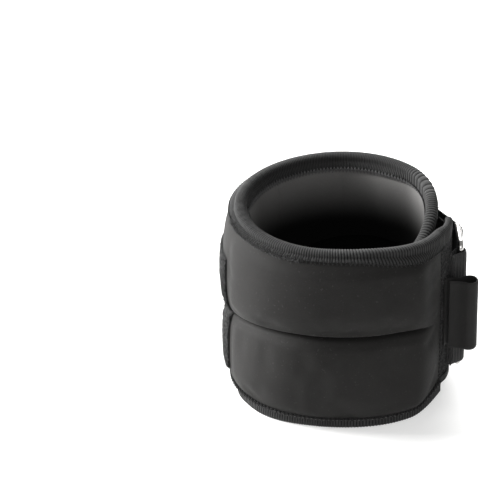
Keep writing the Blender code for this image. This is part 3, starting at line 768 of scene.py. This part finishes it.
def ribbed_slab(name, middle, lengths, thickness):
    """Ribbed tape on a grid of points that starts on the outer leg; lengths run along the tape.

    How high each point lies on its rib, 0 to 1, is stored for the tape's painted groove shade.
    """
    normal = normals_of(middle)
    normal *= np.sign(np.sum(normal[:, 0] * (middle[:, 0] - middle[:, -1]), axis=-1).mean())
    relief = RIB_HEIGHT * (np.abs(np.sin(PI * lengths / RIB_PITCH)) - 0.5)
    front = middle + normal * relief[..., None]
    front[..., 2] = np.maximum(front[..., 2], 0)
    piece = slab(name, front, middle - normal * thickness, TAPE)
    share = np.broadcast_to(relief, front.shape[:2]) / relief.max() * 0.5 + 0.5
    values = np.concatenate([share.ravel(), share.ravel()])
    layer = piece.data.attributes.new("crest", "FLOAT", "POINT")
    layer.data.foreach_set("value", np.clip(values, 0, 1).astype(np.float32))
    return piece


def make_edge_tape(name, node, at_top):
    last = INNER_END_ANGLE + 2.4
    count = int(math.radians(last - SEAM_ANGLE) * WRAP_RADIUS / RIB_PITCH) * PER_RIB
    angles = np.linspace(SEAM_ANGLE, last, count)[:, None]
    edge_at = wrap_top(angles) if at_top else wrap_bottom(angles)
    narrow = 1.3 * smooth_step(60, 85, angles) * smooth_step(200, 150, angles)
    wide = 3.8 * smooth_step(80, 32, angles) - narrow
    leg_out = (5.2 + wide) * MM if at_top else np.full_like(angles, 8.2 * MM)
    leg_in = np.full_like(angles, 7.8 * MM)
    sign = -1 if at_top else 1
    offsets, heights = tape_line(angles, edge_at, sign, leg_out, leg_in)
    lengths = np.radians(angles) * wrap_radius(angles)
    piece = ribbed_slab(name, on_wrap(angles, offsets, heights), lengths, TAPE_THICKNESS)
    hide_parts(node)
    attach(piece, "band")
    return angles, edge_at, leg_out, leg_in, sign


ZIGZAG_PITCH = 2.1 * MM
ZIGZAG_STEPS = 4
FRAYED_FROM, FRAYED_TO = 108, 168


def zigzag(name, angles, edge_at, sign, depth, outward, width):
    """A zigzag of thread over the free edge of a tape's outer or inner leg."""
    face, radius, look = outer_face, 0.26 * MM, THREAD
    if not outward:
        face, radius, look = inner_face, 0.42 * MM, EDGE_THREAD
    reach = angles[-1, 0] - angles[0, 0]
    turns = int(math.radians(reach) * WRAP_RADIUS / ZIGZAG_PITCH) * 2
    share = np.linspace(0, turns, turns * ZIGZAG_STEPS + 1)
    angle = angles[0, 0] + reach * share / turns
    wave = np.abs(share % 2 - 1)
    spot = np.interp(angle, angles[:, 0], depth[:, 0]) + (wave - 0.35) * width
    height = np.interp(angle, angles[:, 0], edge_at[:, 0]) + sign * spot
    lift = 1.35 * MM * smooth_step(0.75, 0.25, wave) + 0.30 * MM
    offset = face(angle, height) + (lift if outward else -lift)
    piece = tube(name, on_wrap(angle, offset, height), radius, look, sides=5)
    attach(piece, "band")


def edge_fuzz(name, angles, edge_at, sign, depth, chooser):
    """Frayed pile along the free edge of the tape at the front, where it has been rubbed."""
    keep = (angles[:, 0] > FRAYED_FROM) & (angles[:, 0] < FRAYED_TO)
    angle = angles[keep]
    height = edge_at[keep] + sign * (depth[keep] + np.linspace(-0.6, 1.6, 4)[None] * MM)
    grid = on_wrap(angle, outer_face(angle, height) + 0.35 * MM, height)
    out = unit(grid - on_wrap(angle, INSIDE, height))
    fibres = fuzz(name, grid, out, 1300, 1.2 * MM, chooser, FIBRE, lean=0.8, radius=0.16 * MM)
    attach(fibres, "band")


def make_edges(chooser):
    edges = (("top_tape", "top_binding", True), ("bottom_tape", "bottom_binding", False))
    for name, node, at_top in edges:
        angles, edge_at, leg_out, leg_in, sign = make_edge_tape(name, node, at_top)
        zigzag(f"{name}_outer_stitch", angles, edge_at, sign, leg_out, True, 2.2 * MM)
        zigzag(f"{name}_inner_stitch", angles, edge_at, sign, leg_in, False, 3.4 * MM)
        if at_top:
            edge_fuzz(f"{name}_fray", angles, edge_at, sign, leg_out, chooser)


def make_inner_end_tape():
    """The same tape on the end that lies under the flap."""
    low, high = 8.4 * MM, float(wrap_top(INNER_END_ANGLE)) - 8.4 * MM
    heights = np.linspace(low, high, int((high - low) / RIB_PITCH) * PER_RIB)[:, None]
    legs = np.linspace(7, 1.9, 6)[None, :] * MM
    crown = CROWN_DEPTH * (1 - np.sin(CROWN_TURN))
    depth = np.concatenate([legs, crown, legs[:, ::-1]], axis=1)
    offset = 3.2 * MM * FOLD
    angle = INNER_END_ANGLE + np.degrees((CROWN_DEPTH - depth) / WRAP_RADIUS)
    middle = on_wrap(angle + 0 * heights, offset + 0.15 * MM, heights + 0 * angle)
    piece = ribbed_slab("inner_end_tape", middle, heights, TAPE_THICKNESS)
    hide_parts("inner_end_binding")
    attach(piece, "band")


# --- the flap

FLAP_START = SEAM_ANGLE - 0.5
FLAP_END = 2.0
FLAP_TOP = 108.5 * MM
FLAP_BOTTOM = 8.5 * MM
FLAP_CORNER = 10 * MM
PER_DEGREE = math.radians(WRAP_RADIUS + FRONT_END_RISE)


def flap_top(angle):
    return FLAP_TOP + 0.8 * MM * smooth_step(14, 24, angle)


def flap_outline(count):
    """Angles, heights and inward directions along the flap's free edge, top seam to bottom seam."""
    across = (FLAP_START - FLAP_END) * PER_DEGREE - FLAP_CORNER
    down = FLAP_TOP - FLAP_BOTTOM - 2 * FLAP_CORNER
    quarter = PI / 2 * FLAP_CORNER
    total = 2 * across + 2 * quarter + down
    along = np.linspace(0, total, count)
    turn = np.clip((along - across) / FLAP_CORNER, 0, PI / 2)
    turn = turn + np.clip((along - across - quarter - down) / FLAP_CORNER, 0, PI / 2)
    inward = np.stack([np.sin(turn), -np.cos(turn)], axis=1)
    corner = FLAP_END + FLAP_CORNER / PER_DEGREE
    angle = corner - inward[:, 0] * FLAP_CORNER / PER_DEGREE
    angle += np.clip(across - along, 0, None) / PER_DEGREE
    angle += np.clip(along - (total - across), 0, None) / PER_DEGREE
    middle = np.clip(along - across - quarter, 0, down)
    top = FLAP_TOP - FLAP_CORNER - middle
    height = top - inward[:, 1] * FLAP_CORNER
    height += (flap_top(angle) - FLAP_TOP) * (along < across)
    return along, angle, height, inward


def make_flap(chooser):
    """The fuzzy panel past the end seam, with its free corners rounded."""
    inset = 1.4 * MM
    end = FLAP_END + inset / PER_DEGREE
    radius = FLAP_CORNER - inset
    share = np.linspace(0, 1, 70)[:, None]
    angle = FLAP_START + share * (end - FLAP_START)
    into = np.clip(radius - (angle - end) * PER_DEGREE, 0, radius)
    cut = radius - np.sqrt(np.clip(radius ** 2 - into ** 2, 0, None))
    low = FLAP_BOTTOM + inset + cut
    high = flap_top(angle) - inset - cut
    heights = low + np.linspace(0, 1, 150)[None] * (high - low)
    rough = pebbled(chooser, heights.shape, 0.24 * MM)
    front = on_wrap(angle, 1.15 * MM + rough, heights)
    piece = slab("fuzzy_flap", front, on_wrap(angle, -1.1 * MM, heights), PILE)
    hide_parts("flap_panel")
    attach(piece, "band")
    normal = unit(front - on_wrap(angle, 0.0, heights))
    fibres = fuzz("flap_fuzz", front, normal, 7000, 0.9 * MM, chooser, FIBRE)
    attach(fibres, "band")


def make_flap_tape():
    """Ribbed tape round the flap's free edge; it starts as wide as the wrap's own tape."""
    along, angle, height, inward = flap_outline(820)
    leg = (5.2 + 3.6 * smooth_step(18 * MM, 4 * MM, along))[:, None] * MM
    half = (1.95 + 0.9 * smooth_step(12 * MM, 0, along)) * MM
    legs = leg * np.linspace(1, 0.3, 6)[None, :]
    crown = 1.7 * MM * (1 - np.sin(CROWN_TURN)) + 0 * leg
    depth = np.concatenate([legs, crown, legs[:, ::-1]], axis=1)
    spot = angle[:, None] + inward[:, :1] * depth / PER_DEGREE
    middle = on_wrap(spot, half[:, None] * FOLD, height[:, None] + inward[:, 1:] * depth)
    piece = ribbed_slab("flap_tape", middle, along[:, None], 0.7 * MM)
    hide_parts("flap_binding")
    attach(piece, "band")
    inside = leg[:, 0] + 0.2 * MM
    spot = angle + inward[:, 0] * inside / PER_DEGREE
    line = on_wrap(spot, half * 0.75, height + inward[:, 1] * inside)
    out = (line - on_wrap(angle, 0.0, height)) * (1, 1, 0)
    line, out = line[20:-20], out[20:-20]
    thread = stitches("flap_tape_stitch", line, out, 2.4 * MM, 1.9 * MM, 0.25 * MM, THREAD)
    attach(thread, "band")


# --- the closure

NEAR_BAR = at_axis((68.9, -12.2))[0]
FAR_BAR = at_axis((67.9, 11.3))[0]
WIRE_RADIUS = 1.8 * MM
RING_LOW, RING_HIGH = 12.9 * MM, 93.9 * MM
WEB_LOW, WEB_HIGH = 17.5 * MM, 89.3 * MM
WEB_TURN = 2.85 * MM
ELASTIC_PITCH = 2.0 * MM
ROOT_OFFSET, RETURN_OFFSET, LAY_OFFSET = 10.5 * MM, 12.6 * MM, 13.1 * MM


def make_ring():
    across = float(np.linalg.norm(FAR_BAR - NEAR_BAR))
    corner = 3.2 * MM
    low, high = RING_LOW + WIRE_RADIUS, RING_HIGH - WIRE_RADIUS
    spots = [(corner, low + corner, 180), (across - corner, low + corner, 270)]
    spots += [(across - corner, high - corner, 0), (corner, high - corner, 90)]
    points = []
    for side, height, first in spots:
        for turn in np.radians(np.linspace(first, first + 90, 13)):
            flat = NEAR_BAR + (FAR_BAR - NEAR_BAR) * (side + corner * math.cos(turn)) / across
            points.append((*flat, height + corner * math.sin(turn)))
    dense = []
    for a, b in zip(points, points[1:] + points[:1]):
        a, b = np.array(a), np.array(b)
        steps = max(int(np.linalg.norm(b - a) / (3 * MM)), 1)
        dense += [a + (b - a) * k / steps for k in range(steps)]
    piece = tube("wire_ring", dense, WIRE_RADIUS, STEEL, sides=24, closed=True)
    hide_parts("ring")
    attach(piece, "ring")


def make_elastic():
    """Ribbed elastic from the flap round the ring's near bar and back over its own foot."""
    surface = 1.1 * MM + 0.3 * MM + 0.75 * MM
    foot = on_plan([16.8, 15.1, 13.4], surface)
    top_foot = on_plan([15.6, 17.0], surface + 1.8 * MM)
    turn = turn_round(NEAR_BAR, foot[1] - NEAR_BAR, -1, WEB_TURN)
    run_out = straight(foot[-1], turn[0], 3)
    run_back = straight(turn[-1], top_foot[0], 4)
    points = np.concatenate([foot, run_out, turn, run_back, top_foot])
    path, lengths = rounded_path(points, 0.22 * MM)
    wave = np.sin(PI * lengths / ELASTIC_PITCH)[:, None]
    low = WEB_LOW + 0.25 * MM * wave ** 2
    high = WEB_HIGH - 0.25 * MM * wave ** 2
    relief = 0.26 * MM * (np.abs(wave) - 0.6)
    grid = upright(path, low + np.linspace(0, 1, 60)[None] * (high - low))
    piece = thick_sheet("ribbed_elastic", grid, 1.3 * MM, ELASTIC, relief)
    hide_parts("elastic_anchor")
    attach(piece, "band")
    heights = np.linspace(WEB_LOW + 2 * MM, WEB_HIGH - 2 * MM, 29)
    angle = np.where(np.arange(29) % 2, 16.7, 15.7)
    thread = tube("anchor_zigzag", on_wrap(angle, surface + 2.65 * MM, heights), 0.3 * MM, THREAD)
    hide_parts("anchor_stitch")
    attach(thread, "band")


def make_tab():
    """A loop of smooth tape: its sewn end lies on the flap, and the loop stands out."""
    surface = 1.1 * MM + 0.3 * MM + 0.65 * MM
    foot = on_plan([21.6, 20.6, 19.6], surface)
    centre = at_axis((73.9, -23.3))[0]
    turns = np.radians(np.linspace(128, -128, 15))
    roll = centre + 4.3 * MM * np.stack([np.cos(turns), np.sin(turns)], axis=1)
    far_side = at_axis([(62.2, -21.5), (64.5, -21.6), (68.0, -21.9)])
    near_side = at_axis([(68.0, -25.3), (62.9, -25.2)])
    path, _ = rounded_path(np.concatenate([foot, far_side, roll, near_side]), 0.5 * MM)
    heights = np.linspace(33.4 * MM, 76.8 * MM, 50)
    piece = thick_sheet("folded_tab", upright(path, heights), 1.15 * MM, TAB)
    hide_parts("tab_foot", "finger_tab")
    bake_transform(piece)


def strap_strip(name, path, node):
    heights = np.linspace(WEB_LOW, WEB_HIGH, 40)
    piece = thick_sheet(name, upright(path, heights), 1.25 * MM, STRAP)
    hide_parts(*node)
    return piece


def make_strap():
    """One strap in three runs: to the ring, round it and back, and on round the back."""
    root = strap_point(np.linspace(66, 51, 6), ROOT_OFFSET)
    landing = strap_point(51, RETURN_OFFSET)[0]
    turn = turn_round(FAR_BAR, root[-1] - FAR_BAR, 1, WEB_TURN)
    back = strap_point(np.linspace(51, 56, 4), RETURN_OFFSET)
    angles = np.linspace(56, 126, 50)
    offset = RETURN_OFFSET + (LAY_OFFSET - RETURN_OFFSET) * smooth_step(58, 68, angles)
    round_back = strap_point(angles, offset)
    run_out = straight(root[-1], turn[0], 5)
    run_back = straight(turn[-1], landing, 6)
    points = np.concatenate([root, run_out, turn, run_back, back, round_back[1:]])
    path, _ = rounded_path(points, 0.6 * MM)
    mid_turn = int(np.argmin(np.linalg.norm(path - turn[len(turn) // 2], axis=1)))
    join = turn[-1] * 0.35 + landing * 0.65
    mid_return = int(np.argmin(np.linalg.norm(path - join, axis=1)))
    first = strap_strip("strap_first_run", path[:mid_turn + 1], ["strap_root"])
    start, end = root[-1], turn[0]
    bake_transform(first)
    second = path[mid_turn:mid_return + 1]
    second = strap_strip("strap_turn", second, ["strap_fold", "strap_return"])
    along = unit(landing - turn[-1])
    start, end = turn[-1] - 2 * MM * along, turn[-1] + 6 * MM * along
    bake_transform(second)
    third = strap_strip("strap_last_run", path[mid_return:], ["strap_end"])
    start, end = strap_point([53.5, 58.5], RETURN_OFFSET)
    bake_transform(third)


def make_hook_panel():
    angles = np.linspace(72, 123, 60)
    flat = strap_point(angles, LAY_OFFSET - 1.5 * MM)
    heights = np.linspace(WEB_LOW + 3 * MM, WEB_HIGH - 3 * MM, 60)
    grid = upright(flat, heights)
    piece = thick_sheet("hook_backing", grid, 0.7 * MM, HOOK)
    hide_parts("hook_panel")
    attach(piece, "strap_end")
    spots = grid[1:-1, 1:-1].reshape(-1, 3)
    inward = np.concatenate([AXIS - spots[:, :2], np.zeros((len(spots), 1))], axis=1)
    frames = frames_on(np.tile([0.0, 0.0, 1.0], (len(spots), 1)), inward)
    vertices, faces = fibre_shape(1.0 * MM, 0.12 * MM, 0.6)
    hooks = scatter("hook_field", vertices, faces, spots, frames, HOOK)
    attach(hooks, "strap_end")


PATCH_START, PATCH_END = 162.0, 288.7
STRAP_COVERS = 234


def make_patch(chooser):
    """The fuzzy loop panel on the shell, which the strap's hooks grip and press flat."""
    angles = np.linspace(PATCH_START, PATCH_END, 200)[:, None]
    seam = crease_height(angles)
    low = seam - (seam - 8.5 * MM) * 5 / 6
    high = seam + (wrap_top(angles) - 8.5 * MM - seam) * 4 / 6
    heights = low + np.linspace(0, 1, 110)[None] * (high - low)
    face = outer_face(angles, heights)
    pressed = smooth_step(STRAP_COVERS - 4, STRAP_COVERS, angles)
    rough = pebbled(chooser, heights.shape, 0.3 * MM) * (1 - 0.8 * pressed)
    front = on_wrap(angles, face + (1.2 - 0.9 * pressed) * MM + rough, heights)
    piece = slab("fuzzy_patch", front, on_wrap(angles, face + 0.2 * MM, heights), PILE)
    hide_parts("loop_patch")
    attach(piece, "band")
    normal = normals_of(front)
    normal *= np.sign(np.sum(normal[..., :2] * (front[..., :2] - AXIS)))
    split = int(np.searchsorted(angles[:, 0], STRAP_COVERS - 2))
    fibres = fuzz("patch_fuzz", front[:split], normal[:split], 9500, 1.0 * MM, chooser, FIBRE)
    flat = fuzz("patch_pressed_fuzz", front[split:], normal[split:], 6500, 0.22 * MM, chooser,
                FIBRE, radius=0.06 * MM)
    edge = fuzz("patch_edge_fuzz", front[:6], normal[:6], 1600, 1.5 * MM, chooser,
                FIBRE, lean=0.9)
    for item in (fibres, flat, edge):
        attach(item, "band")


# --- stitching

STITCH = (2.8 * MM, 2.2 * MM, 0.28 * MM)
SEAM_STITCH = (2.6 * MM, 2.1 * MM, 0.28 * MM)
QUILT_STITCH = (2.6 * MM, 2.1 * MM, 0.15 * MM)


def wrap_stitches(name, angles, heights, offset, sign, form, material):
    """Stitches along a line on the wrap, which face out, or in where the sign is -1."""
    angles = np.broadcast_to(angles, heights.shape)
    line = on_wrap(angles, offset, heights)
    out = sign * (line - on_wrap(angles, INSIDE, heights))
    piece = stitches(name, line, out, *form, material)
    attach(piece, "band")
    return piece


def make_stitching():
    low = float(wrap_bottom(27)) + 8.5 * MM
    heights = np.linspace(low, float(wrap_top(27)) - 10 * MM, 80)
    angle = SEAM_ANGLE + 1.3
    offset = outer_face(angle, heights) + 0.12 * MM
    piece = wrap_stitches("end_seam_stitches", angle, heights, offset, 1, SEAM_STITCH, THREAD)
    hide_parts("end_seam_thread")
    heights = np.linspace(9 * MM, HEIGHT - 9.5 * MM, 80)
    for index in range(1, COLUMNS):
        angle = PAD_START + (PAD_END - PAD_START) / COLUMNS * index
        offset = inner_face(angle, heights)
        name = f"quilt_stitches_{index}"
        piece = wrap_stitches(name, angle, heights, offset, -1, QUILT_STITCH, LINING)
        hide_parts(f"quilt_thread_{index}")
    angles = np.linspace(40, PATCH_START - 1, 260)
    heights = crease_height(angles)
    offset = outer_face(angles, heights) + 0.1 * MM
    piece = wrap_stitches("crease_stitches", angles, heights, offset, 1, STITCH, THREAD)
    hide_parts("mid_seam_thread")
    angle = PATCH_START + 6.67
    heights = np.linspace(15 * MM, 84 * MM, 80)
    offset = outer_face(angle, heights) + 1.25 * MM
    piece = wrap_stitches("patch_stitches", angle, heights, offset, 1, STITCH, THREAD)
    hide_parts("loop_patch_stitch")
    heights = np.linspace(WEB_LOW + 3 * MM, WEB_HIGH - 3 * MM, 60)
    line = upright(strap_point(123, LAY_OFFSET + 0.75 * MM), heights)[0]
    out = (line - (*AXIS, 0)) * (1, 1, 0)
    end = stitches("strap_end_stitches", line, out, *STITCH, THREAD)
    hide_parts("strap_end_stitch")
    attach(end, "strap_end")


# --- scene

def make_stage():
    """A pale floor that glows a little, which keeps the shadow faint."""
    size = 6.0
    corners = [(-size, -size, 0), (size, -size, 0), (size, size, 0), (-size, size, 0)]
    material, _, shader = node_material("pale_floor")
    floor = mesh_object("floor", corners, [(0, 1, 2, 3)], material)
    set_inputs(shader, {
        "Base Color": (0.62, 0.62, 0.615, 1), "Emission Color": (1.0, 1.0, 0.995, 1),
        "Emission Strength": 0.5, "Roughness": 0.6, "Specular IOR Level": 0.2})


def make_light(name, place, size, power, target):
    data = bpy.data.lights.new(name, "AREA")
    data.shape = "RECTANGLE"
    data.size, data.size_y = size
    data.energy = power
    light = bpy.data.objects.new(name, data)
    light.location = place
    light.rotation_euler = (Vector(target) - Vector(place)).to_track_quat("-Z", "Y").to_euler()
    bpy.context.scene.collection.objects.link(light)


def make_lights():
    target = (0, 0, 0.05)
    make_light("left_box", (-1.2, 0.3, 0.55), (0.9, 0.9), 88, target)
    make_light("front_box", (0.2, -1.5, 0.9), (1.2, 0.8), 8, target)
    make_light("back_box", (0.3, 1.5, 1.2), (1.4, 0.9), 46, target)
    world_settings = bpy.data.worlds.new("studio")
    world_settings.use_nodes = True
    background = world_settings.node_tree.nodes["Background"]
    set_inputs(background, {"Color": (1.0, 1.0, 0.995, 1), "Strength": 0.36})
    bpy.context.scene.world = world_settings
    bpy.context.scene.view_settings.view_transform = "Standard"


DISTANCE = 1.5
ELEVATION = math.radians(31.7)
LENS = 193
SHIFT_X, SHIFT_Y = -0.1702, 0.0768
TARGET_HEIGHT = 56.5 * MM


def make_camera():
    """The view from the front and above, with the object right of the middle."""
    data = bpy.data.cameras.new("camera")
    data.lens = LENS
    data.sensor_width = 36
    data.shift_x, data.shift_y = SHIFT_X, SHIFT_Y
    data.clip_end = 50
    camera = bpy.data.objects.new("camera", data)
    target = Vector((*AXIS, TARGET_HEIGHT))
    camera.location = target + DISTANCE * Vector((0, -math.cos(ELEVATION), math.sin(ELEVATION)))
    camera.rotation_euler = (PI / 2 - ELEVATION, 0, 0)
    bpy.context.scene.collection.objects.link(camera)
    bpy.context.scene.camera = camera


def finish_cad_nodes():
    """Materials for the frame's own nodes, seen where no fine piece replaces them."""
    for name, node in frame["nodes"].items():
        node.data.materials.clear()
        node.data.materials.append(SAND_BAG if name.startswith("fill_pouch") else THREAD)


def main():
    chooser = np.random.default_rng(7)
    make_stage()
    make_lights()
    make_camera()
    finish_cad_nodes()
    make_shell()
    make_lining()
    make_edges(chooser)
    make_inner_end_tape()
    make_flap(chooser)
    make_flap_tape()
    make_ring()
    make_elastic()
    make_tab()
    make_strap()
    make_hook_panel()
    make_patch(chooser)
    make_stitching()


main()
